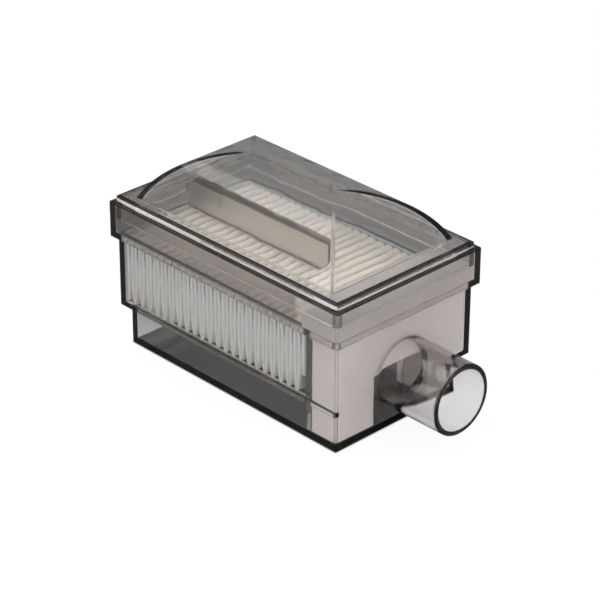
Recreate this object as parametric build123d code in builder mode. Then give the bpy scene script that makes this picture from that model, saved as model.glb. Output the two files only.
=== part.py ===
# Clear plastic air filter box with a domed lid, a pleated paper pack and a side outlet tube
import os

from build123d import *

os.makedirs("parts", exist_ok=True)

# Housing, all sizes in mm
collar_length = 97.2
collar_width = 58.8
collar_top = 46.0
collar_height = 11.4
collar_wall = 2.0
collar_radius = 0.9
collar_overhang = 1.8
ledge_thickness = 1.4
wall = 1.8
floor_thickness = 1.8
body_radius = 0.7
step_inset = 5.2
step_level = 11.2
step_thickness = 1.1
near_ledge = 1.3
edge_round = 0.5
inner_round = 0.3

# Guide rail along the near wall, ending in a small lug past the outlet wall
rail_proud = 0.8
rail_height = 1.3
rail_level = 13.2
lug_length = 0.3
lug_depth = 1.0

# Outlet tube
tube_diameter = 22.0
tube_bore = 19.0
tube_length = 22.3
tube_height = 15.7
tube_lip = 0.35

# Hood that divides off the outlet chamber, and the glue line under what is bonded down
fit = 0.15
seat_gap = 0.05
hood_distance = 11.4
hood_wall = 2.0
hood_plate = 1.5
hood_skirt = 1.5
hood_strip = 1.3
duct_width = 22.4
partition_opening = 8.6

# Felt block in the outlet chamber
felt_gap = 0.12
duct_height = 16.1

# Pleated pack and its adhesive bead; the sheet is thick, so its flanks nearly touch
pleat_count = 23
sheet_thickness = 1.1
ridge_width = 2.45
ridge_round = 1.1
pack_drop = 0.6
pack_side_gap = 0.3
pack_end_gap = 0.5
bead_width = 0.9
bead_height = 0.4

# Lid
lid_inset = 1.45
lid_thickness = 2.1
lid_radius = 1.1
lid_step_width = 0.9
lid_step_depth = 0.5
lid_wall = 1.6
skirt_wall = 1.5
skirt_depth = 5.4
dome_side_inset = 5.1
dome_end_inset = 7.2
dome_rise = 15.4

# Hold-down blade under the lid
blade_length = 61.0
blade_thickness = 1.2
blade_root_thickness = 1.5
blade_root_length = 14.6
blade_clearance = 0.4
blade_stand = 0.6
blade_round = 5.5

# Places worked out from the sizes
overall_length = collar_length - collar_overhang + tube_length
collar_left = -overall_length / 2
collar_right = collar_left + collar_length
collar_center = collar_left + collar_length / 2
collar_bottom = collar_top - collar_height
mouth_floor = collar_bottom + ledge_thickness
body_length = collar_length - 2 * collar_overhang
body_width = collar_width - 2 * collar_overhang
body_left = collar_left + collar_overhang
body_right = body_left + body_length
body_near = -body_width / 2
body_far = body_width / 2
inner_left = body_left + wall
inner_right = body_right - wall
inner_near = body_near + wall
inner_far = body_far - wall
lower_left = body_left + step_inset
lower_far = body_far - step_inset
low_inner_left = lower_left + wall
low_inner_far = lower_far - wall
pack_ledge = step_level + step_thickness
mouth_length = collar_length - 2 * collar_wall
mouth_width = collar_width - 2 * collar_wall
mouth_right = collar_right - collar_wall
mouth_radius = max(collar_radius - collar_wall, 0.2)
hood_left = inner_right - hood_distance
hood_right = hood_left + hood_wall
hood_top = collar_top - skirt_depth
pack_top = mouth_floor - pack_drop


def box_between(x_low, x_high, y_low, y_high, z_low, z_high, mode=Mode.ADD):
    """Add or cut a plain box given by its limits."""
    with BuildSketch(Plane.XY.offset(z_low)) as outline_sketch:
        with Locations(((x_low + x_high) / 2, (y_low + y_high) / 2)):
            Rectangle(x_high - x_low, y_high - y_low)
    extrude(outline_sketch.sketch, amount=z_high - z_low, mode=mode)


def rounded_block(center, length, width, radius, z_low, z_high, mode=Mode.ADD):
    """Add or cut an upright block with rounded corners."""
    with BuildSketch(Plane.XY.offset(z_low)) as outline_sketch:
        with Locations(center):
            RectangleRounded(length, width, radius)
    extrude(outline_sketch.sketch, amount=z_high - z_low, mode=mode)


# Housing: stepped box, collar, guide rail and outlet tube in one moulding
with BuildPart() as housing:
    lower_center = ((lower_left + body_right) / 2, (body_near + lower_far) / 2)
    rounded_block(lower_center, body_right - lower_left, lower_far - body_near, body_radius, 0, step_level)
    fillet(housing.faces().sort_by(Axis.Z)[0].edges(), edge_round)
    rounded_block((collar_center, 0), body_length, body_width, body_radius, step_level, collar_bottom)
    rounded_block((collar_center, 0), collar_length, collar_width, collar_radius, collar_bottom, collar_top)
    fillet(housing.faces().sort_by(Axis.Z)[-1].edges(), edge_round / 2)
    box_between(
        lower_left + body_radius,
        body_right + lug_length,
        body_near - rail_proud,
        body_near + lug_depth,
        rail_level - rail_height,
        rail_level,
    )
    with BuildSketch(Plane.YZ.offset(body_right)):
        with Locations((0, tube_height)):
            Circle(tube_diameter / 2)
    extrude(amount=tube_length)
    tube_mouth = housing.faces().sort_by(Axis.X)[-1]
    chamfer(tube_mouth.edges(), tube_lip)
    box_between(low_inner_left, inner_right, inner_near, low_inner_far, floor_thickness, pack_ledge, Mode.SUBTRACT)
    rounded_block(
        ((inner_left + inner_right) / 2, 0),
        inner_right - inner_left,
        inner_far - inner_near,
        inner_round,
        pack_ledge,
        mouth_floor,
        Mode.SUBTRACT,
    )
    rounded_block((collar_center, 0), mouth_length, mouth_width, mouth_radius, mouth_floor, collar_top, Mode.SUBTRACT)
    box_between(
        low_inner_left - wall / 2,
        hood_left - fit,
        inner_near - wall / 2,
        inner_near + near_ledge,
        step_level,
        pack_ledge,
    )
    with BuildSketch(Plane.YZ.offset(inner_right - wall)):
        with Locations((0, tube_height)):
            Circle(tube_bore / 2)
    extrude(amount=2 * wall + tube_length, mode=Mode.SUBTRACT)
housing.part.label = "housing"

# Outlet hood: upright divider with a flat top that stands on the collar ledge
with BuildPart() as outlet_hood:
    with BuildSketch(Plane.YZ.offset(hood_left)):
        with BuildLine():
            Polyline(
                (inner_near + fit, floor_thickness + seat_gap),
                (low_inner_far - fit, floor_thickness + seat_gap),
                (low_inner_far - fit, pack_ledge + fit),
                (inner_far - fit, pack_ledge + fit),
                (inner_far - fit, mouth_floor + hood_plate),
                (inner_near + fit, mouth_floor + hood_plate),
                close=True,
            )
        make_face()
        with Locations((0, floor_thickness + partition_opening / 2)):
            Rectangle(duct_width, partition_opening, mode=Mode.SUBTRACT)
    extrude(amount=hood_wall)
    box_between(
        hood_left - hood_strip,
        hood_left,
        inner_near + near_ledge + fit,
        low_inner_far - fit,
        step_level,
        pack_ledge,
    )
    box_between(
        hood_left,
        mouth_right - fit,
        -mouth_width / 2 + fit,
        mouth_width / 2 - fit,
        mouth_floor + seat_gap,
        hood_top,
    )
    box_between(
        hood_right,
        mouth_right - fit - hood_skirt,
        -mouth_width / 2 + fit + hood_skirt,
        mouth_width / 2 - fit - hood_skirt,
        mouth_floor + seat_gap,
        hood_top - hood_plate,
        Mode.SUBTRACT,
    )
outlet_hood.part.label = "outlet_hood"

# Felt block with its rectangular air duct
with BuildPart() as outlet_felt:
    with BuildSketch(Plane.YZ.offset(hood_right + felt_gap)):
        with BuildLine():
            Polyline(
                (inner_near + felt_gap, floor_thickness),
                (low_inner_far - felt_gap, floor_thickness),
                (low_inner_far - felt_gap, pack_ledge + felt_gap),
                (inner_far - felt_gap, pack_ledge + felt_gap),
                (inner_far - felt_gap, hood_top - hood_plate - felt_gap),
                (inner_near + felt_gap, hood_top - hood_plate - felt_gap),
                close=True,
            )
        make_face()
        with Locations((0, floor_thickness + duct_height / 2)):
            Rectangle(duct_width, duct_height, mode=Mode.SUBTRACT)
    extrude(amount=inner_right - hood_right - 2 * felt_gap)
outlet_felt.part.label = "outlet_felt"

# Pleated paper pack, one folded sheet
pack_left = inner_left + pack_end_gap
pack_right = hood_left - pack_end_gap
pack_bottom = pack_ledge + bead_height
pack_width = inner_far - inner_near - 2 * pack_side_gap
pitch = (pack_right - pack_left) / pleat_count
slot_open = pitch - ridge_width
slot_end = ridge_width - 2 * sheet_thickness

outline = [(pack_left + slot_end / 2, pack_bottom)]
for index in range(pleat_count):
    ridge = pack_left + (index + 0.5) * pitch
    outline.append((ridge - ridge_width / 2, pack_top))
    outline.append((ridge + ridge_width / 2, pack_top))
    if index < pleat_count - 1:
        outline.append((ridge + pitch / 2 - slot_end / 2, pack_bottom + sheet_thickness))
        outline.append((ridge + pitch / 2 + slot_end / 2, pack_bottom + sheet_thickness))
outline.append((pack_right - slot_end / 2, pack_bottom))
for index in reversed(range(pleat_count)):
    ridge = pack_left + (index + 0.5) * pitch
    outline.append((ridge + slot_open / 2, pack_bottom))
    outline.append((ridge + slot_end / 2, pack_top - sheet_thickness))
    outline.append((ridge - slot_end / 2, pack_top - sheet_thickness))
    outline.append((ridge - slot_open / 2, pack_bottom))

with BuildPart() as pleated_pack:
    with BuildSketch(Plane.XZ) as fold_section:
        with BuildLine():
            Polyline(*outline, close=True)
        make_face()
        ridge_corners = fold_section.vertices().group_by(Axis.Y)[-1]
        fillet(ridge_corners, ridge_round)
        valley_corners = fold_section.vertices().group_by(Axis.Y)[0].sort_by(Axis.X)[2:-2]
        fillet(valley_corners, ridge_round)
    extrude(amount=pack_width / 2, both=True)
pleated_pack.part.label = "pleated_pack"

# Adhesive bead that seals the pack to the ledges
with BuildPart() as pack_seal:
    with BuildSketch(Plane.XY.offset(pack_ledge)):
        with Locations(((pack_left + pack_right) / 2, 0)):
            Rectangle(pack_right - pack_left, pack_width)
            Rectangle(pack_right - pack_left - 2 * bead_width, pack_width - 2 * bead_width, mode=Mode.SUBTRACT)
    extrude(amount=bead_height)
pack_seal.part.label = "pack_seal"

# Lid: plate on the collar rim, skirt inside the collar, arched dome with hips and the blade
lid_base = collar_top + seat_gap
lid_top = lid_base + lid_thickness
lid_length = collar_length - 2 * lid_inset
lid_width = collar_width - 2 * lid_inset
dome_length = collar_length - 2 * dome_end_inset
half_chord = collar_width / 2 - dome_side_inset
dome_radius = (half_chord**2 + dome_rise**2) / (2 * dome_rise)
arc_height = lid_top + dome_rise - dome_radius
ridge_half = dome_length / 2 - half_chord


def arched_bar(plane, radius, base_level, flat_half, reach_each_way, mode=Mode.ADD):
    """Extrude an arch of the given radius, with a flat middle, standing on base_level."""
    reach = (radius**2 - (base_level - arc_height) ** 2) ** 0.5
    with BuildSketch(plane) as arch_sketch:
        with BuildLine():
            Line((-flat_half - reach, base_level), (flat_half + reach, base_level))
            RadiusArc((flat_half + reach, base_level), (flat_half, arc_height + radius), -radius)
            if flat_half > 0:
                Line((flat_half, arc_height + radius), (-flat_half, arc_height + radius))
            RadiusArc((-flat_half, arc_height + radius), (-flat_half - reach, base_level), -radius)
        make_face()
    extrude(arch_sketch.sketch, amount=reach_each_way, both=True, mode=mode)


across = Plane.YZ.offset(collar_center)
along = Plane((collar_center, 0, 0), x_dir=(1, 0, 0), z_dir=(0, -1, 0))

with BuildPart() as dome_shape:
    arched_bar(across, dome_radius, lid_base, 0, dome_length)
    arched_bar(along, dome_radius, lid_base, ridge_half, collar_width, Mode.INTERSECT)

with BuildPart() as dome_hollow:
    arched_bar(across, dome_radius - lid_wall, lid_base, 0, dome_length)
    arched_bar(along, dome_radius - lid_wall, lid_base, ridge_half, collar_width, Mode.INTERSECT)

blade_bottom = pack_top + blade_clearance
blade_top = collar_top + blade_stand
blade_left = inner_left + blade_clearance
skirt_length = mouth_length - 2 * fit
skirt_width = mouth_width - 2 * fit
skirt_bottom = hood_top + seat_gap

with BuildPart() as lid:
    rounded_block((collar_center, 0), lid_length, lid_width, lid_radius, lid_base, lid_top)
    with BuildSketch(Plane.XY.offset(lid_top - lid_step_depth)):
        with Locations((collar_center, 0)):
            Rectangle(lid_length + wall, lid_width + wall)
            RectangleRounded(
                lid_length - 2 * lid_step_width,
                lid_width - 2 * lid_step_width,
                max(lid_radius - lid_step_width, 0.2),
                mode=Mode.SUBTRACT,
            )
    extrude(amount=lid_thickness, mode=Mode.SUBTRACT)
    add(dome_shape.part)
    rounded_block((collar_center, 0), skirt_length, skirt_width, mouth_radius, skirt_bottom, lid_base)
    box_between(
        collar_center - skirt_length / 2 + skirt_wall,
        collar_center + skirt_length / 2 - skirt_wall,
        -skirt_width / 2 + skirt_wall,
        skirt_width / 2 - skirt_wall,
        skirt_bottom,
        lid_base,
        Mode.SUBTRACT,
    )
    add(dome_hollow.part, mode=Mode.SUBTRACT)
    with BuildSketch(Plane.XZ) as blade_section:
        with BuildLine():
            Polyline(
                (blade_left, blade_bottom),
                (blade_left + blade_length, blade_bottom),
                (blade_left + blade_length, blade_top),
                (blade_left, blade_top),
                close=True,
            )
        make_face()
        fillet(blade_section.vertices().sort_by(Axis.X)[-2:].sort_by(Axis.Y)[0], blade_round)
    extrude(amount=blade_thickness / 2, both=True)
    box_between(
        collar_center - skirt_length / 2 + skirt_wall / 2,
        blade_left + blade_root_length,
        -blade_root_thickness / 2,
        blade_root_thickness / 2,
        skirt_bottom,
        blade_top,
    )
lid.part.label = "lid"

export_step(housing.part, "parts/housing.step")
export_step(outlet_hood.part, "parts/outlet_hood.step")
export_step(outlet_felt.part, "parts/outlet_felt.step")
export_step(pleated_pack.part, "parts/pleated_pack.step")
export_step(pack_seal.part, "parts/pack_seal.step")
export_step(lid.part, "parts/lid.step")
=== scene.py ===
import logging
import math
from dataclasses import dataclass
from enum import Enum
from typing import Any, Union

import bmesh
import bpy
from mathutils import Matrix, Vector, noise


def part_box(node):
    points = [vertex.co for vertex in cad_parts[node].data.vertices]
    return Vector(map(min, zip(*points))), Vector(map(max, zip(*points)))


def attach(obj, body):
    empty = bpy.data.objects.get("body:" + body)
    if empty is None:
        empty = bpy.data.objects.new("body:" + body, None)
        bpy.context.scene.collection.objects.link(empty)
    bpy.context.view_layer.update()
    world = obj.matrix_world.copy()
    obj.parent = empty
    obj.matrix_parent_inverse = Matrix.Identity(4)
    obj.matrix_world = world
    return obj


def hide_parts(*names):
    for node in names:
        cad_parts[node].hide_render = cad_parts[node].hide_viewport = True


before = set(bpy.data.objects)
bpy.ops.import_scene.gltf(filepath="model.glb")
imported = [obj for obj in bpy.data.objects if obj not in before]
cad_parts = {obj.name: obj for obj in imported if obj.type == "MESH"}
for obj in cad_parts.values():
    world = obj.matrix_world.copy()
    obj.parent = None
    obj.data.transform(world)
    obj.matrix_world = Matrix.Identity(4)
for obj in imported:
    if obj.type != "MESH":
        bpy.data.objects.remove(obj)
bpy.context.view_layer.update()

MM = 0.001
BODY = "root"
WHITE = (1.0, 1.0, 1.0, 1.0)
BLACK = (0.0, 0.0, 0.0, 1.0)
LOG = logging.getLogger("filter_box")


class Slot(Enum):
    """Material slots of the record, paired with the clear mouldings in dress but not read."""

    HOUSING = "housing_plastic"
    HOOD = "hood_plastic"
    LID = "lid_plastic"
    SHEET = "filter_paper"
    GLUE = "adhesive"
    FELT = "felt"


class Signal:
    """A value in a shader graph that can be used in Python expressions."""

    def __init__(self, graph: "Graph", socket: bpy.types.NodeSocket | None) -> None:
        """Wrap one output socket.

        Args:
            graph: The graph that the socket belongs to.
            socket: The output socket itself, or None for a node without outputs.
        """
        self.graph = graph
        self.socket = socket

    def _math(self, operation: str, *values: "Value") -> "Signal":
        """Add one Math node.

        Args:
            operation: The Math node's operation.
            values: Its inputs, in order.

        Returns:
            The node's result.
        """
        inputs = dict(enumerate(values))
        return self.graph.node("ShaderNodeMath", {"operation": operation}, inputs)

    def __add__(self, other: "Value") -> "Signal":
        """Return self + other."""
        return self._math("ADD", self, other)

    def __radd__(self, other: "Value") -> "Signal":
        """Return other + self."""
        return self._math("ADD", other, self)

    def __sub__(self, other: "Value") -> "Signal":
        """Return self - other."""
        return self._math("SUBTRACT", self, other)

    def __rsub__(self, other: "Value") -> "Signal":
        """Return other - self."""
        return self._math("SUBTRACT", other, self)

    def __mul__(self, other: "Value") -> "Signal":
        """Return self * other."""
        return self._math("MULTIPLY", self, other)

    def __rmul__(self, other: "Value") -> "Signal":
        """Return other * self."""
        return self._math("MULTIPLY", other, self)

    def __pow__(self, other: "Value") -> "Signal":
        """Return self to the power of other."""
        return self._math("POWER", self, other)

    def between(self, low: float, high: float) -> "Signal":
        """Return a smooth step that is 0 at low and 1 at high."""
        inputs = {"Value": self, "From Min": low, "From Max": high}
        settings = {"interpolation_type": "SMOOTHSTEP"}
        return self.graph.node("ShaderNodeMapRange", settings, inputs, "Result")


Value = Union[Signal, float, int, tuple]
Triple = tuple[float, float, float]
Color = tuple[float, float, float, float]


class Graph:
    """The node tree of one material or of the world."""

    COLOR_A, COLOR_B, COLOR_RESULT = 6, 7, 2

    def __init__(self, tree: bpy.types.NodeTree) -> None:
        """Start from an empty tree.

        Args:
            tree: The node tree to fill.
        """
        self.tree = tree
        tree.nodes.clear()

    def node(
        self, kind: str, settings: dict[str, Any], inputs: dict[Any, Value], output: Any = 0
    ) -> Signal:
        """Add a node of any type.

        Args:
            kind: The node's type name.
            settings: Properties to set first.
            inputs: Values or links by socket name or number.
            output: Name or number of the output socket to return.

        Returns:
            The chosen output.
        """
        made = self.tree.nodes.new(kind)
        for name, value in settings.items():
            setattr(made, name, value)
        for name, value in inputs.items():
            if isinstance(value, Signal):
                self.tree.links.new(value.socket, made.inputs[name])
            else:
                made.inputs[name].default_value = value
        return Signal(self, made.outputs[output] if made.outputs else None)

    def place(self) -> Signal:
        """Return the surface point in the object's own coordinates."""
        return self.node("ShaderNodeTexCoord", {}, {}, "Object")

    def ray(self, kind: str) -> Signal:
        """Return 1 for light rays of one kind, such as Camera, and 0 for all others."""
        return self.node("ShaderNodeLightPath", {}, {}, f"Is {kind} Ray")

    def axes(self, vector: Signal) -> tuple[Signal, Signal, Signal]:
        """Return the three parts of a vector."""
        parts = self.node("ShaderNodeSeparateXYZ", {}, {0: vector})
        return tuple(Signal(self, socket) for socket in parts.socket.node.outputs)

    def inside(self, low: Triple, high: Triple, soft: float) -> Signal:
        """Return 1 inside an upright box and 0 outside it.

        Args:
            low: The box's lowest corner.
            high: The box's highest corner.
            soft: Width in metres of the change at each side.

        Returns:
            The mask.
        """
        mask = None
        for part, start, end in zip(self.axes(self.place()), low, high):
            risen = part.between(start - soft, start + soft)
            span = risen * (1 - part.between(end - soft, end + soft))
            mask = span if mask is None else mask * span
        return mask

    def stretched(self, scale: Triple) -> Signal:
        """Return the surface point scaled along each axis."""
        inputs = {0: self.place(), 1: scale}
        return self.node("ShaderNodeVectorMath", {"operation": "MULTIPLY"}, inputs, "Vector")

    def cloud(self, scale: float, detail: float = 2.0, at: Signal | None = None) -> Signal:
        """Return soft noise from 0 to 1.

        Args:
            scale: Features per metre.
            detail: How many finer layers are added.
            at: Where to sample, the surface point if left out.

        Returns:
            The noise value.
        """
        inputs = {"Vector": at or self.place(), "Scale": scale, "Detail": detail}
        return self.node("ShaderNodeTexNoise", {}, inputs, "Fac")

    def blend(self, share: Value, first: Value, second: Value) -> Signal:
        """Mix two colours.

        Args:
            share: How much of the second colour is taken, 0 to 1.
            first: The colour at 0.
            second: The colour at 1.

        Returns:
            The mixed colour.
        """
        inputs = {"Factor": share, self.COLOR_A: first, self.COLOR_B: second}
        return self.node("ShaderNodeMix", {"data_type": "RGBA"}, inputs, self.COLOR_RESULT)

    def bump(
        self, height: Signal, distance: float, strength: float = 1.0, under: Signal | None = None
    ) -> Signal:
        """Return a normal tilted by a height.

        Args:
            height: The height, 0 to 1.
            distance: Depth in metres that a height of 1 stands for.
            strength: Share of the effect that is used.
            under: The normal to tilt, the surface's own if left out.

        Returns:
            The tilted normal.
        """
        inputs: dict[Any, Value] = {"Height": height, "Distance": distance, "Strength": strength}
        if under is not None:
            inputs["Normal"] = under
        return self.node("ShaderNodeBump", {}, inputs, "Normal")

    def finish(self, surface: Signal, volume: Signal | None = None) -> None:
        """Connect the material's output.

        Args:
            surface: The surface shader.
            volume: The shader of what fills the solid, if any.
        """
        inputs = {"Surface": surface}
        if volume is not None:
            inputs["Volume"] = volume
        self.node("ShaderNodeOutputMaterial", {}, inputs)


def rgb(red: float, green: float, blue: float) -> Color:
    """Return a linear colour from three values on the display scale.

    Args:
        red: Red part, 0 to 255.
        green: Green part, 0 to 255.
        blue: Blue part, 0 to 255.

    Returns:
        The linear colour, fully opaque.
    """
    shares = (red / 255, green / 255, blue / 255)
    linear = [((s + 0.055) / 1.055) ** 2.4 if s > 0.04045 else s / 12.92 for s in shares]
    return (*linear, 1.0)


def new_material(name: str) -> tuple[bpy.types.Material, Graph]:
    """Make an empty material.

    Args:
        name: The material's name.

    Returns:
        The material and its graph.
    """
    made = bpy.data.materials.new(name)
    made.use_nodes = True
    return made, Graph(made.node_tree)


@dataclass(frozen=True)
class Look:
    """How one zone of a moulding differs from its plain clear plastic."""

    tint: Triple = (1.0, 1.0, 1.0)
    roughness: float = 0.0
    milky: float = 0.0
    broken: float = 0.0


@dataclass(frozen=True)
class Zone:
    """An upright box, or the band along its outline, that has a look of its own."""

    low: Triple
    high: Triple
    look: Look = Look()
    band: float = 0.0
    soft: float = 0.05 * MM

    def mask(self, graph: Graph) -> Signal:
        """Make the zone's mask.

        Args:
            graph: The graph that it is made in.

        Returns:
            1 in the zone and 0 outside it.
        """
        mask = graph.inside(self.low, self.high, self.soft)
        if self.band:
            low = (self.low[0] + self.band, self.low[1] + self.band, self.low[2] - self.band)
            high = (self.high[0] - self.band, self.high[1] - self.band, self.high[2] + self.band)
            mask = mask * (1 - graph.inside(low, high, self.soft))
        return mask


@dataclass(frozen=True)
class SmokePlastic:
    """Clear moulded plastic that darkens with the thickness that is looked through."""

    name: str
    density: float
    zones: tuple[Zone, ...] = ()
    soft_edges: float = 0.0
    tint: Triple = (0.055, 0.03, 0.0)
    index: float = 1.51
    haze: float = 0.006
    gloss: float = 0.3
    ripple: float = 0.16 * MM
    ripple_scale: float = 95.0
    wipe: float = 0.02
    wipe_scale: float = 900.0
    wipe_stretch: Triple = (1.0, 1.0, 0.25)
    wipe_power: float = 3.0
    streak_scale: float = 85.0
    streak_span: tuple[float, float] = (0.45, 0.6)
    # Pale colour of the milky zones; on the lid's plate and at the housing's corner it is painted
    # light.
    milk: Color = rgb(250, 242, 237)
    milk_roughness: float = 0.35

    def material(self) -> bpy.types.Material:
        """Make the plastic's material.

        Returns:
            The material.
        """
        made, graph = new_material(self.name)
        flow = graph.cloud(self.ripple_scale, detail=1.0)
        wipes = graph.cloud(self.wipe_scale, detail=3.0, at=graph.stretched(self.wipe_stretch))
        roughness = self.haze + self.wipe * wipes**self.wipe_power
        color: Value = WHITE
        milky: Value = 0.0
        for zone in self.zones:
            mask, look = zone.mask(graph), zone.look
            if look.roughness:
                roughness = roughness + look.roughness * mask
            if look.tint != WHITE[:3]:
                color = graph.blend(mask, color, (*look.tint, 1.0))
            if look.milky:
                milky = milky + self._milky(graph, mask, look)
        normal = graph.bump(flow, self.ripple, under=self._edges(graph))
        clear = {
            "Base Color": color,
            "Roughness": roughness,
            "IOR": self.index,
            "Specular IOR Level": self.gloss,
            "Transmission Weight": 1.0,
            "Normal": normal,
        }
        surface = graph.node("ShaderNodeBsdfPrincipled", {}, clear)
        if any(zone.look.milky for zone in self.zones):
            cloudy = {"Base Color": self.milk, "Roughness": self.milk_roughness, "Normal": normal}
            pale = graph.node("ShaderNodeBsdfPrincipled", {}, cloudy)
            surface = graph.node("ShaderNodeMixShader", {}, {"Fac": milky, 1: surface, 2: pale})
        inside = {"Color": (*self.tint, 1.0), "Density": self.density}
        graph.finish(surface, graph.node("ShaderNodeVolumeAbsorption", {}, inside))
        return made

    def _milky(self, graph: Graph, mask: Signal, look: Look) -> Signal:
        """Make the milky share of one zone, broken up by streaks where its look says so.

        Args:
            graph: The graph that it is made in.
            mask: The zone's mask.
            look: The zone's look.

        Returns:
            The share, 0 outside the zone.
        """
        share = look.milky * mask
        if look.broken:
            streaks = graph.cloud(self.streak_scale, detail=3.0).between(*self.streak_span)
            share = share * (1 - look.broken * streaks)
        return share

    def _edges(self, graph: Graph) -> Signal | None:
        """Make the normal that runs smoothly round the edges.

        Args:
            graph: The graph that it is made in.

        Returns:
            The normal, or None where edges are left sharp.
        """
        if not self.soft_edges:
            return None
        return graph.node("ShaderNodeBevel", {"samples": 6}, {"Radius": self.soft_edges})


@dataclass(frozen=True)
class FilterSheet:
    """Thick, soft, cream filter sheet of fine fibres, with painted shade in its valleys and pale where
    it is cut.
    """

    shaded_valleys: Zone
    inner: Zone
    name: str = "filter_sheet"
    light: Color = rgb(255, 248, 239)
    dark: Color = rgb(249, 240, 230)
    # Painted shade: the darker tone below the ridge tops, where the valleys lie in shade.
    valley_shade: Color = rgb(216, 202, 191)
    cut: Color = rgb(253, 252, 250)
    patch_scale: float = 160.0
    fibre_scale: float = 2600.0
    fibre_stretch: Triple = (1.0, 0.35, 1.0)
    fibre_share: float = 0.3
    fibre_depth: float = 0.18 * MM
    fibre_strength: float = 0.6
    dullness: float = 0.82
    dull_spread: float = 0.14
    sheen: float = 0.2
    gloss: float = 0.2

    def material(self) -> bpy.types.Material:
        """Make the sheet's material.

        Returns:
            The material.
        """
        made, graph = new_material(self.name)
        patches = graph.cloud(self.patch_scale)
        fibres = graph.cloud(self.fibre_scale, detail=4.0, at=graph.stretched(self.fibre_stretch))
        mottled = (1 - self.fibre_share) * patches + self.fibre_share * fibres
        color = graph.blend(mottled, self.light, self.dark)
        color = graph.blend(self.inner.mask(graph), self.cut, color)
        paper = {
            "Base Color": graph.blend(self.shaded_valleys.mask(graph), color, self.valley_shade),
            "Roughness": self.dullness + self.dull_spread * fibres,
            "Normal": graph.bump(fibres, self.fibre_depth, self.fibre_strength),
            "Sheen Weight": self.sheen,
            "Specular IOR Level": self.gloss,
        }
        graph.finish(graph.node("ShaderNodeBsdfPrincipled", {}, paper))
        return made


@dataclass(frozen=True)
class FeltFinish:
    """Dense white felt with a faint pink cast."""

    name: str = "white_felt"
    light: Color = rgb(255, 246, 243)
    dark: Color = rgb(253, 240, 236)
    patch_scale: float = 70.0
    hair_scale: float = 1900.0
    hair_share: float = 0.25
    hair_depth: float = 0.12 * MM
    hair_strength: float = 0.5
    dullness: float = 0.86
    dull_spread: float = 0.12
    sheen: float = 0.25
    gloss: float = 0.15

    def material(self) -> bpy.types.Material:
        """Make the felt's material.

        Returns:
            The material.
        """
        made, graph = new_material(self.name)
        patches = graph.cloud(self.patch_scale, detail=3.0)
        hairs = graph.cloud(self.hair_scale, detail=5.0)
        mottled = (1 - self.hair_share) * patches + self.hair_share * hairs
        felt = {
            "Base Color": graph.blend(mottled, self.light, self.dark),
            "Roughness": self.dullness + self.dull_spread * hairs,
            "Normal": graph.bump(hairs, self.hair_depth, self.hair_strength),
            "Sheen Weight": self.sheen,
            "Specular IOR Level": self.gloss,
        }
        graph.finish(graph.node("ShaderNodeBsdfPrincipled", {}, felt))
        return made


@dataclass(frozen=True)
class GlueFinish:
    """Hot-melt adhesive, milky and slightly glossy."""

    name: str = "adhesive_bead"
    light: Color = rgb(232, 228, 220)
    dark: Color = rgb(214, 208, 198)
    lump_scale: float = 420.0
    lump_depth: float = 0.15 * MM
    lump_strength: float = 0.7
    dullness: float = 0.28
    dull_spread: float = 0.2

    def material(self) -> bpy.types.Material:
        """Make the adhesive's material.

        Returns:
            The material.
        """
        made, graph = new_material(self.name)
        lumps = graph.cloud(self.lump_scale)
        glue = {
            "Base Color": graph.blend(lumps, self.light, self.dark),
            "Roughness": self.dullness + self.dull_spread * lumps,
            "Normal": graph.bump(lumps, self.lump_depth, self.lump_strength),
        }
        graph.finish(graph.node("ShaderNodeBsdfPrincipled", {}, glue))
        return made


def put_in_scene(
    name: str, mesh: bmesh.types.BMesh, material: bpy.types.Material, smooth: bool = False
) -> bpy.types.Object:
    """Turn a bmesh into a named piece of the scene.

    Args:
        name: The piece's name.
        mesh: Its geometry, which is freed.
        material: Its finish.
        smooth: Whether its faces are shaded smoothly.

    Returns:
        The new object.
    """
    bmesh.ops.recalc_face_normals(mesh, faces=mesh.faces)
    for face in mesh.faces:
        face.smooth = smooth
    data = bpy.data.meshes.new(name)
    mesh.to_mesh(data)
    mesh.free()
    data.materials.append(material)
    piece = bpy.data.objects.new(name, data)
    bpy.context.scene.collection.objects.link(piece)
    return piece


def grown_box(node: str) -> tuple[Vector, Vector]:
    """Return the corners of a solid's box, a millimetre further out on every side."""
    low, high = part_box(node)
    return low - Vector((MM, MM, MM)), high + Vector((MM, MM, MM))


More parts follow.
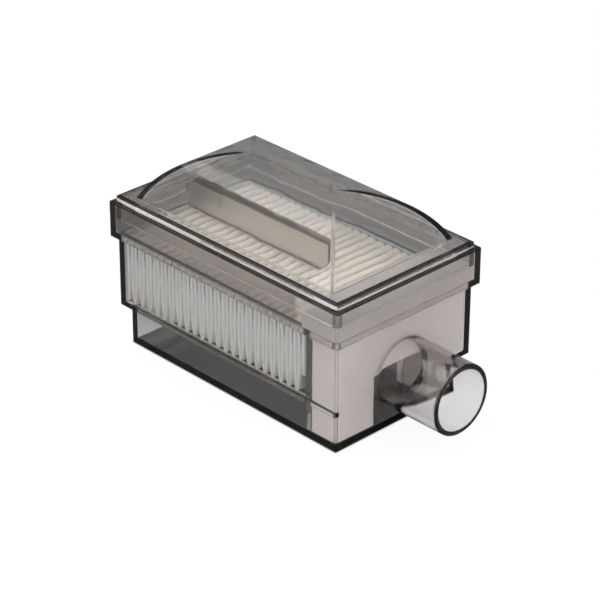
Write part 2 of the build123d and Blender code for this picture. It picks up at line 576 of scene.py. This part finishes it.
@dataclass
class ClearShells:
    """The three clear mouldings, which keep their solids and get zones in the object's frame."""

    housing_density: float = 86.0
    hood_density: float = 68.0
    lid_density: float = 50.0
    soft_edges: float = 0.8 * MM
    collar_span: tuple[float, float] = (36.3 * MM, 45.3 * MM)
    collar_end: float = 21.5 * MM
    collar_look: Look = Look((0.66, 0.635, 0.63), roughness=0.16)
    hazy_look: Look = Look((0.97, 0.96, 0.95), roughness=0.14)
    rim_line: float = 45.6 * MM
    # Painted shade: a dark tint along the rim's top stands in for the dark edge line of the thick
    # plastic.
    rim_painted_shade: Look = Look((0.06, 0.05, 0.05))
    foot_line: float = 0.9 * MM
    # Painted shade: a dark tint along the foot stands in for the dark underside.
    foot_painted_shade: Look = Look((0.34, 0.34, 0.34))
    tube_start: float = 37.4 * MM
    tube_reach: float = 11.5 * MM
    tube_top: float = 27.5 * MM
    tube_look: Look = Look((0.86, 0.85, 0.85))
    ledge_corner: Triple = (36.9 * MM, -27.9 * MM, 36.6 * MM)
    corner_foot: float = 34.0 * MM
    # Painted light: a pale milky patch under the collar's near corner, where the plastic renders dark.
    corner_painted_light: Look = Look(milky=0.16)
    hood_level: float = 35.9 * MM
    hood_look: Look = Look(milky=0.8)
    blade_low: Triple = (-55.1 * MM, -1.3 * MM, 35.0 * MM)
    blade_high: Triple = (6.8 * MM, 1.3 * MM, 46.8 * MM)
    blade_look: Look = Look((1.0, 0.955, 0.92), roughness=0.4)
    blade_band: float = 1.9 * MM
    blade_line: float = 36.25 * MM
    blade_end: float = 5.85 * MM
    # Painted shade: dark bands along the blade's top, foot and end stand in for its edge seen through
    # its depth.
    blade_edge_painted_shade: Look = Look((0.2, 0.17, 0.16))
    rim_side: tuple[float, float] = (46.35 * MM, 47.4 * MM)
    side_reach: float = 19.0 * MM
    side_band: float = 1.3 * MM
    # Painted light: milky streaks along the plate's sides stand in for the bright strip of light
    # passing through the rim.
    side_painted_light: Look = Look(milky=0.5, broken=0.6)
    end_top: float = 46.9 * MM
    end_depth: float = 1.3 * MM
    # Painted light: a milky band at the plate's end, like the one on its sides.
    end_painted_light: Look = Look(milky=0.3)
    rim_step: tuple[float, float] = (47.5 * MM, 48.4 * MM)
    step_band: float = 2.1 * MM
    # Painted shade: a dark band along the rim's step stands in for its dark edge line.
    step_painted_shade: Look = Look((0.05, 0.04, 0.04))
    dome_foot_low: Triple = (29.6 * MM, -23.4 * MM, 45.9 * MM)
    dome_foot_high: Triple = (30.7 * MM, 23.4 * MM, 46.5 * MM)
    # Painted shade: a thin dark line along the dome's end foot.
    dome_foot_painted_shade: Look = Look((0.35, 0.33, 0.32))

    def _housing_zones(self) -> tuple[Zone, ...]:
        """Lay out the zones of the housing.

        Returns:
            The hazy collar in two parts, the rim and foot with painted dark shade, the tube and the
            ledge's corner with painted light.
        """
        low, high = grown_box("housing")
        start, end = self.collar_span
        corner_x, corner_y, corner_z = self.ledge_corner
        tube_low = (self.tube_start, -self.tube_reach, self.foot_line)
        return (
            Zone((low.x, low.y, start), (self.collar_end, high.y, end), self.collar_look),
            Zone((low.x, low.y, self.rim_line), tuple(high), self.rim_painted_shade),
            Zone(tuple(low), (high.x, high.y, self.foot_line), self.foot_painted_shade),
            Zone(tube_low, (high.x, self.tube_reach, self.tube_top), self.tube_look),
            Zone((corner_x, low.y, self.corner_foot), (high.x, corner_y, corner_z), self.corner_painted_light),
            Zone((self.collar_end, low.y, start), (high.x, high.y, end), self.hazy_look),
        )

    def _hood_zones(self) -> tuple[Zone, ...]:
        """Return the milky upper box of the hood."""
        low, high = grown_box("outlet_hood")
        return (Zone((low.x, low.y, self.hood_level), tuple(high), self.hood_look),)

    def _lid_zones(self) -> tuple[Zone, ...]:
        """Lay out the zones of the lid.

        Returns:
            The frosted blade with painted shade on its edges, and the painted light on the sides and
            painted dark lines of its plate.
        """
        low, high = grown_box("lid")
        near_x, near_y, blade_foot = self.blade_low
        far_x, far_y, blade_top = self.blade_high
        band_low = (near_x, near_y, blade_top - self.blade_band)
        side_low, side_high = self.rim_side
        step_low, step_high = self.rim_step
        step_end = (high.x, high.y, step_high)
        end_low = (high.x - self.end_depth, low.y, side_low)
        return (
            Zone(self.blade_low, self.blade_high, self.blade_look),
            Zone(band_low, self.blade_high, self.blade_edge_painted_shade),
            Zone(self.blade_low, (far_x, far_y, self.blade_line), self.blade_edge_painted_shade),
            Zone((self.blade_end, near_y, blade_foot), self.blade_high, self.blade_edge_painted_shade),
            Zone(
                (low.x, low.y, side_low),
                (high.x + self.side_reach, high.y, side_high),
                self.side_painted_light,
                self.side_band,
            ),
            Zone(end_low, (high.x, high.y, self.end_top), self.end_painted_light),
            Zone((low.x, low.y, step_low), step_end, self.step_painted_shade, self.step_band),
            Zone(self.dome_foot_low, self.dome_foot_high, self.dome_foot_painted_shade),
        )

    def dress(self) -> list[str]:
        """Give each clear moulding its plastic.

        Returns:
            The names of the nodes that were dressed.
        """
        soft = self.soft_edges
        housing = SmokePlastic("housing_smoke", self.housing_density, self._housing_zones(), soft)
        hood = SmokePlastic("hood_smoke", self.hood_density, self._hood_zones())
        lid = SmokePlastic("lid_smoke", self.lid_density, self._lid_zones(), soft)
        finishes = {
            "housing": (housing, Slot.HOUSING),
            "outlet_hood": (hood, Slot.HOOD),
            "lid": (lid, Slot.LID),
        }
        for node, (finish, slot) in finishes.items():
            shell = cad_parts[node]
            shell.data.materials.clear()
            shell.data.materials.append(finish.material())
        return list(finishes)


def drift(x: float, y: float, scales: Triple) -> float:
    """Return smooth noise, from two scales and the height of its layer."""
    return noise.noise(Vector((x * scales[0], y * scales[1], scales[2])))


@dataclass
class PleatedPack:
    """The folded sheet, with soft ridges that wander a little along their length."""

    pleats: int = 23
    thickness: float = 1.15 * MM
    fold_radius: float = 0.66 * MM
    fold_steps: int = 6
    flank_steps: int = 4
    rows: int = 56
    wander: float = 0.32 * MM
    wander_noise: Triple = (140.0, 55.0, 3.1)
    waver_noise: tuple[float, float] = (300.0, 160.0)
    waver_share: float = 0.5
    foot_wander: float = 0.35
    calm_edge: float = 4.0 * MM
    zigzag: float = 0.42 * MM
    zigzag_noise: Triple = (60.0, 430.0, 11.3)
    zigzag_fade: int = 4
    dip: float = 0.28 * MM
    dip_noise: Triple = (260.0, 90.0, 7.7)
    dip_fade: int = 2
    swell: float = 0.7
    swell_depth: float = 3.0 * MM
    tooth_height: float = 2.4 * MM
    tooth_pinch: float = 0.7
    pale_rim: float = 1.4 * MM
    unshaded_ridge: float = 1.3 * MM
    valley_soft: float = 0.5 * MM
    name: str = "folded_sheet"

    def _middle_line(self, low: Vector, high: Vector) -> list[Vector]:
        """Lay out the folded sheet's middle line in the XZ plane, from left to right.

        Args:
            low: Lowest corner of the pack's box.
            high: Highest corner of the pack's box.

        Returns:
            The line's points.
        """
        radius, pitch = self.fold_radius, (high.x - low.x) / self.pleats
        top = high.z - self.thickness / 2 - radius
        bottom = low.z + self.thickness / 2 + radius
        points = []
        for index in range(self.pleats):
            ridge = low.x + (index + 0.5) * pitch
            left, right = ridge - pitch / 2, ridge + pitch / 2
            points += self._fold(left, bottom, up=False, half=index == 0)
            points += self._flank((left + radius, bottom), (ridge - radius, top))
            points += self._fold(ridge, top, up=True)
            points += self._flank((ridge + radius, top), (right - radius, bottom))
        return points

    def _fold(self, middle: float, level: float, up: bool, half: bool = False) -> list[Vector]:
        """Lay out one half-round fold.

        Args:
            middle: Place of the fold's middle along X.
            level: Height of its ends.
            up: Whether it bends upwards.
            half: Whether only its right half is wanted.

        Returns:
            The fold's points.
        """
        first = self.fold_steps // 2 if half else 0
        sign = 1.0 if up else -1.0
        points = []
        for step in range(first, self.fold_steps + 1):
            angle = math.pi * (1 - step / self.fold_steps)
            rise = sign * self.fold_radius * math.sin(angle)
            points.append(Vector((middle + self.fold_radius * math.cos(angle), level + rise)))
        return points

    def _flank(self, start: tuple[float, float], end: tuple[float, float]) -> list[Vector]:
        """Return the points between the ends of one flank, without the ends."""
        shares = (step / self.flank_steps for step in range(1, self.flank_steps))
        return [Vector(start).lerp(Vector(end), share) for share in shares]

    def build(self) -> bpy.types.Object:
        """Build the sheet and let it stand for its plain solid.

        Returns:
            The piece.
        """
        low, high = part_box("pleated_pack")
        line = self._middle_line(low, high)
        sides = []
        for index, point in enumerate(line):
            before = line[max(index - 1, 0)]
            after = line[min(index + 1, len(line) - 1)]
            run = (after - before).normalized()
            across = Vector((-run.y, run.x)) * (self.thickness / 2)
            sides.append((point + across, point - across))
        mesh = bmesh.new()
        grid = []
        for row in range(self.rows + 1):
            y = low.y + (high.y - low.y) * row / self.rows
            grid.append([self._pair(mesh, pair, y, low, high) for pair in sides])
        self._skin(mesh, grid)
        piece = put_in_scene(self.name, mesh, self._finish(low, high).material(), smooth=True)
        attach(piece, BODY)
        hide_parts("pleated_pack")
        return piece

    def _finish(self, low: Vector, high: Vector) -> FilterSheet:
        """Fit the sheet's finish to the pack.

        Args:
            low: Lowest corner of the pack's box.
            high: Highest corner of the pack's box.

        Returns:
            The finish, with painted shade in its valleys and its pale cut ends.
        """
        start = (low.x - MM, low.y + self.pale_rim, low.z - MM)
        end_x, end_y = high.x + MM, high.y - self.pale_rim
        # Painted shade below the top of the ridges, away from the cut ends.
        shaded_valleys = Zone(start, (end_x, end_y, high.z - self.unshaded_ridge), soft=self.valley_soft)
        inner = Zone(start, (end_x, end_y, high.z + MM), soft=self.valley_soft)
        return FilterSheet(shaded_valleys, inner)

    def _pair(
        self, mesh: bmesh.types.BMesh, pair: tuple[Vector, Vector], y: float, low: Vector, high: Vector
    ) -> tuple[bmesh.types.BMVert, ...]:
        """Add the two vertices of one place in the section, swollen and pinched at the cut ends.

        Args:
            mesh: The mesh to fill.
            pair: The sheet's two faces at this place, in the XZ plane.
            y: Place along the ridges.
            low: Lowest corner of the pack's box.
            high: Highest corner of the pack's box.

        Returns:
            The two vertices.
        """
        middle = (pair[0] + pair[1]) / 2
        rim = max(1 - min(y - low.y, high.y - y) / self.swell_depth, 0.0)
        lift = (middle.y - low.z) / (high.z - low.z)
        width = 1 + self.swell * rim * lift
        pitch = (high.x - low.x) / self.pleats
        valley = low.x + round((middle.x - low.x) / pitch) * pitch
        spread = []
        for side in pair:
            x = middle.x + (side.x - middle.x) * width
            rise = min((side.y - low.z) / self.tooth_height, 1.0)
            x = valley + (x - valley) * (1 - rim * self.tooth_pinch * (1 - rise))
            spread.append(Vector((x, side.y)))
        return tuple(mesh.verts.new(self._place(side, y, low, high)) for side in spread)

    def _place(self, side: Vector, y: float, low: Vector, high: Vector) -> Vector:
        """Find where a point of the section comes to lie at one place along the ridges.

        Args:
            side: The point in the XZ plane.
            y: Place along the ridges.
            low: Lowest corner of the pack's box.
            high: Highest corner of the pack's box.

        Returns:
            The point in space.
        """
        lift = (side.y - low.z) / (high.z - low.z)
        waver_x, waver_y = self.waver_noise
        waver = noise.noise(Vector((0.0, y * waver_y, side.x * waver_x)))
        sway = drift(side.x, y, self.wander_noise) + self.waver_share * waver
        sink = 0.5 + 0.5 * drift(side.x, y, self.dip_noise)
        crimp = drift(side.x, y, self.zigzag_noise)
        edge = min(side.x - low.x, high.x - side.x) / self.calm_edge
        shift = self.wander * sway * (self.foot_wander + (1 - self.foot_wander) * lift)
        shift += self.zigzag * crimp * max(lift, 0.0) ** self.zigzag_fade
        x = side.x + shift * min(max(edge, 0.0), 1.0)
        z = side.y - self.dip * sink * max(lift, 0.0) ** self.dip_fade
        return Vector((min(max(x, low.x), high.x), y, z))

    def _skin(self, mesh: bmesh.types.BMesh, grid: list[list[tuple]]) -> None:
        """Close the sheet's faces, ends and edges.

        Args:
            mesh: The mesh to fill.
            grid: Upper and lower vertices by row and by place in the section.
        """
        last = len(grid[0]) - 1
        for here, there in zip(grid, grid[1:]):
            for index in range(last):
                after = index + 1
                for side in (0, 1):
                    lower = (here[index][side], here[after][side])
                    mesh.faces.new((*lower, there[after][side], there[index][side]))
            for index in (0, last):
                mesh.faces.new((here[index][0], here[index][1], there[index][1], there[index][0]))
        for row in (grid[0], grid[-1]):
            for index in range(last):
                mesh.faces.new((row[index][0], row[index + 1][0], row[index + 1][1], row[index][1]))


@dataclass
class GlueBead:
    """The adhesive under the pack's edges, a low uneven bead on the ledges."""

    width: float = 0.85 * MM
    steps: int = 60
    shoulder: float = 0.15
    unevenness: float = 0.12 * MM
    lump_scale: float = 500.0
    name: str = "glue_bead"

    def build(self) -> bpy.types.Object:
        """Build the bead and let it stand for its plain solid.

        Returns:
            The piece.
        """
        low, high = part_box("pack_seal")
        corners = [(low.x, low.y), (high.x, low.y), (high.x, high.y), (low.x, high.y)]
        mesh = bmesh.new()
        rings = []
        for corner, following in zip(corners, corners[1:] + corners[:1]):
            start, end = Vector(corner), Vector(following)
            for step in range(self.steps):
                rings.append(self._ring(mesh, start.lerp(end, step / self.steps), low, high))
        for ring, following in zip(rings, rings[1:] + rings[:1]):
            for index in range(4):
                after = (index + 1) % 4
                mesh.faces.new((ring[index], ring[after], following[after], following[index]))
        piece = put_in_scene(self.name, mesh, GlueFinish().material())
        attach(piece, BODY)
        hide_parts("pack_seal")
        return piece

    def _ring(
        self, mesh: bmesh.types.BMesh, at: Vector, low: Vector, high: Vector
    ) -> list[bmesh.types.BMVert]:
        """Add the four corners of the bead's section at one place of its outer line.

        Args:
            mesh: The mesh to fill.
            at: The place on the outer line.
            low: Lowest corner of the bead's box.
            high: Highest corner of the bead's box.

        Returns:
            The four vertices, from the outer foot round to the inner one.
        """
        centre = Vector(((low.x + high.x) / 2, (low.y + high.y) / 2))
        span = Vector(((high.x - low.x) / 2, (high.y - low.y) / 2))
        lump = noise.noise(Vector((at.x * self.lump_scale, at.y * self.lump_scale, 0.0)))
        depth = self.width + self.unevenness * lump
        away = Vector(((at.x - centre.x) / span.x, (at.y - centre.y) / span.y))
        inner = centre + Vector((away.x * (span.x - depth), away.y * (span.y - depth)))
        shoulder, heel = at.lerp(inner, self.shoulder), at.lerp(inner, 1 - self.shoulder)
        places = [(at, low.z), (shoulder, high.z), (heel, high.z), (inner, low.z)]
        return [mesh.verts.new((place.x, place.y, z)) for place, z in places]


@dataclass
class FeltBlock:
    """The felt that fills the outlet chamber round its air duct."""

    duct_width: float = 22.4 * MM
    duct_height: float = 16.1 * MM
    step_side: float = 5.2 * MM
    step_height: float = 10.62 * MM
    edge: float = 0.45 * MM
    edge_steps: int = 3
    grain: float = 1.1 * MM
    hollow: float = 0.14 * MM
    coarse_scale: float = 180.0
    fine_scale: float = 700.0
    fine_share: float = 0.4
    name: str = "felt_filler"

    def _outline(self, low: Vector, high: Vector) -> list[tuple[float, float]]:
        """Lay out the block's section in the YZ plane, round the duct and over the ledge.

        Args:
            low: Lowest corner of the block's box.
            high: Highest corner of the block's box.

        Returns:
            The corners in order.
        """
        half, duct_top = self.duct_width / 2, low.z + self.duct_height
        step_y, step_z = high.y - self.step_side, low.z + self.step_height
        duct = [(-half, low.z), (-half, duct_top), (half, duct_top), (half, low.z)]
        ledge = [(step_y, low.z), (step_y, step_z), (high.y, step_z)]
        return [(low.y, low.z), *duct, *ledge, (high.y, high.z), (low.y, high.z)]

    def build(self) -> bpy.types.Object:
        """Build the block and let it stand for its plain solid.

        Returns:
            The piece.
        """
        low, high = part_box("outlet_felt")
        outline = self._outline(low, high)
        mesh = bmesh.new()
        ends = [[mesh.verts.new((x, y, z)) for y, z in outline] for x in (low.x, high.x)]
        for ring in ends:
            mesh.faces.new(ring)
        for index in range(len(outline)):
            after = (index + 1) % len(outline)
            mesh.faces.new((ends[0][index], ends[0][after], ends[1][after], ends[1][index]))
        bmesh.ops.recalc_face_normals(mesh, faces=mesh.faces)
        rounding = {"offset": self.edge, "segments": self.edge_steps, "profile": 0.5, "affect": "EDGES"}
        bmesh.ops.bevel(mesh, geom=list(mesh.edges), **rounding)
        for axis in range(3):
            self._slice(mesh, axis, low[axis], high[axis])
        self._roughen(mesh)
        piece = put_in_scene(self.name, mesh, FeltFinish().material(), smooth=True)
        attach(piece, BODY)
        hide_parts("outlet_felt")
        return piece

    def _slice(self, mesh: bmesh.types.BMesh, axis: int, start: float, end: float) -> None:
        """Cut the block's faces into a fine grid along one axis.

        Args:
            mesh: The mesh to cut.
            axis: The axis, 0 to 2.
            start: Where the block begins on it.
            end: Where the block ends on it.
        """
        normal = Vector((axis == 0, axis == 1, axis == 2))
        for step in range(1, int((end - start) / self.grain)):
            place = normal * (start + step * self.grain)
            geometry = list(mesh.verts) + list(mesh.edges) + list(mesh.faces)
            bmesh.ops.bisect_plane(mesh, geom=geometry, plane_co=place, plane_no=normal)

    def _roughen(self, mesh: bmesh.types.BMesh) -> None:
        """Press small hollows into the surface, never outwards.

        Args:
            mesh: The mesh to change.
        """
        mesh.normal_update()
        moves = []
        for vert in mesh.verts:
            coarse = noise.noise(vert.co * self.coarse_scale)
            fine = noise.noise(vert.co * self.fine_scale)
            depth = (1 - self.fine_share) * coarse + self.fine_share * fine
            moves.append(vert.normal * (-self.hollow * min(max(0.5 + depth, 0.0), 1.0)))
        for vert, move in zip(mesh.verts, moves):
            vert.co += move


@dataclass(frozen=True)
class Panel:
    """A square soft lamp, with its place and size in metres and its power in watts."""

    name: str
    place: Triple
    size: float
    power: float
    mirrored: bool = True

    def hang(self, target: Triple) -> None:
        """Make the lamp, turned to face a point.

        Args:
            target: The point that it faces.
        """
        data = bpy.data.lights.new(self.name, "AREA")
        data.size = self.size
        data.energy = self.power
        lamp = bpy.data.objects.new(self.name, data)
        lamp.location = self.place
        lamp.rotation_mode = "QUATERNION"
        lamp.rotation_quaternion = (Vector(self.place) - Vector(target)).to_track_quat("Z", "Y")
        lamp.visible_glossy = self.mirrored
        bpy.context.scene.collection.objects.link(lamp)


@dataclass
class Studio:
    """Pale floor, soft light, white background and the camera."""

    floor_size: float = 6.0
    floor_drop: float = 0.1 * MM
    floor_tone: Triple = (0.85, 0.85, 0.85)
    mirrored_tone: Triple = (0.18, 0.18, 0.18)
    camera_seen_white: float = 0.93
    grey_span: tuple[float, float] = (-15.0 * MM, 62.0 * MM)
    base_low: Triple = (-51.8 * MM, -27.6 * MM, -1.0 * MM)
    base_high: Triple = (36.5 * MM, 22.4 * MM, 1.0 * MM)
    duct_low: Triple = (22.0 * MM, -27.6 * MM, -1.0 * MM)
    # Painted shadow under the box's footprint: its dark tone, its softness and how much white glow it
    # takes away.
    painted_shadow_tone: Triple = (0.04, 0.04, 0.042)
    shadow_soft: float = 0.5 * MM
    shadow_glow_cut: float = 0.93
    backdrop_tone: float = 0.23
    backdrop_side: tuple[float, float] = (0.1, 0.7)
    backdrop_top: tuple[float, float] = (0.3, 0.7)
    mirrored_sky: float = 0.25
    panels: tuple[Panel, ...] = (
        Panel("top_panel", (-0.1, -0.1, 0.9), size=1.1, power=4.4),
        Panel("near_panel", (-0.3, -1.0, 0.4), size=0.9, power=3.2),
        Panel("end_panel", (1.0, -0.2, 0.4), size=0.9, power=4.2, mirrored=False),
    )
    azimuth: float = 46.181
    elevation: float = 28.158
    roll: float = 0.146
    distance: float = 0.766
    target: Triple = (-0.0101, 0.0002, 0.0291)
    lens: float = 155.156
    sensor: float = 36.0
    shift: tuple[float, float] = (0.01186, -0.0423)
    near_clip: float = 0.01

    def build(self) -> None:
        """Make the floor, the world, the lamps and the camera."""
        self._floor()
        self._world()
        for panel in self.panels:
            panel.hang(self.target)
        self._camera()
        self._render_settings()

    def _render_settings(self) -> None:
        """Let light pass through all the clear walls, and keep plain colours."""
        bpy.context.scene.view_settings.view_transform = "Standard"
        cycles = bpy.context.scene.cycles
        cycles.max_bounces = 40
        cycles.transmission_bounces = 40
        cycles.glossy_bounces = 12
        cycles.diffuse_bounces = 6
        cycles.transparent_max_bounces = 16
        cycles.caustics_refractive = True
        cycles.caustics_reflective = True

    def _away(self, east: Signal, north: Signal) -> Signal:
        """Return how far a place lies behind the object, as the photograph sees it."""
        around = math.radians(self.azimuth)
        return north * math.cos(around) - east * math.sin(around)

    def _floor(self) -> None:
        """Make the floor: white as background, with a painted shadow where the box covers it."""
        material, graph = new_material("pale_floor")
        seen, through = graph.ray("Camera"), graph.ray("Transmission")
        mirrored = graph.ray("Glossy") * (1 - through)
        # Painted shadow: dark paint and less white glow under the box, with still less glow under the
        # duct.
        shadow_mask = graph.inside(self.base_low, self.base_high, self.shadow_soft)
        tone = graph.blend(shadow_mask, (*self.floor_tone, 1.0), (*self.painted_shadow_tone, 1.0))
        tone = graph.blend(mirrored, tone, (*self.mirrored_tone, 1.0))
        paint = graph.node("ShaderNodeBsdfDiffuse", {}, {"Color": tone})
        east, north, _ = graph.axes(graph.place())
        grey = through * self._away(east, north).between(*self.grey_span)
        glow_tone = graph.blend(1 - grey * (1 - self.backdrop_tone), BLACK, WHITE)
        glow = graph.node("ShaderNodeEmission", {}, {"Color": glow_tone})
        duct_shadow = graph.inside(self.duct_low, self.base_high, self.shadow_soft)
        shadowed = shadow_mask * (self.shadow_glow_cut + (1 - self.shadow_glow_cut) * duct_shadow)
        share = (seen + through) * self.camera_seen_white * (1 - shadowed)
        graph.finish(graph.node("ShaderNodeMixShader", {}, {"Fac": share, 1: paint, 2: glow}))
        mesh = bmesh.new()
        bmesh.ops.create_grid(mesh, x_segments=8, y_segments=8, size=self.floor_size / 2)
        floor = put_in_scene("floor", mesh, material)
        floor.location.z = -self.floor_drop

    def _world(self) -> None:
        """Make the world: white all round, with a greyer backdrop behind the clear walls."""
        world = bpy.data.worlds.new("studio")
        bpy.context.scene.world = world
        world.use_nodes = True
        graph = Graph(world.node_tree)
        seen, through = graph.ray("Camera"), graph.ray("Transmission")
        mirrored = graph.ray("Glossy") * (1 - through)
        east, north, up = graph.axes(graph.node("ShaderNodeTexCoord", {}, {}, "Generated"))
        behind = self._away(east, north).between(*self.backdrop_side)
        backdrop = behind * (1 - up.between(*self.backdrop_top))
        dimmed = through * backdrop * (1 - self.backdrop_tone) + mirrored * (1 - self.mirrored_sky)
        tone = graph.blend(1 - (1 - seen) * dimmed, BLACK, WHITE)
        shade = graph.node("ShaderNodeBackground", {}, {"Color": tone})
        graph.node("ShaderNodeOutputWorld", {}, {"Surface": shade})

    def _camera(self) -> None:
        """Put the camera at the photograph's viewing angle."""
        around, up = math.radians(self.azimuth), math.radians(self.elevation)
        level = math.cos(up)
        back = Vector((math.sin(around) * level, -math.cos(around) * level, math.sin(up)))
        data = bpy.data.cameras.new("camera")
        data.lens = self.lens
        data.sensor_width = self.sensor
        data.shift_x, data.shift_y = self.shift
        data.clip_start = self.near_clip
        camera = bpy.data.objects.new("camera", data)
        camera.location = Vector(self.target) + back * self.distance
        tilt = Matrix.Rotation(math.radians(self.roll), 3, "Z")
        camera.rotation_mode = "QUATERNION"
        camera.rotation_quaternion = (back.to_track_quat("Z", "Y").to_matrix() @ tilt).to_quaternion()
        bpy.context.scene.collection.objects.link(camera)
        bpy.context.scene.camera = camera


def main() -> None:
    """Build and dress the pieces in order and report each one."""
    logging.basicConfig(level=logging.INFO, format="%(name)s: %(message)s")
    for node in ClearShells().dress():
        LOG.info("%s: dressed as clear plastic", node)
    for part in (PleatedPack(), GlueBead(), FeltBlock()):
        piece = part.build()
        LOG.info("%s: %d faces", piece.name, len(piece.data.polygons))
    Studio().build()


if __name__ == "__main__":
    main()
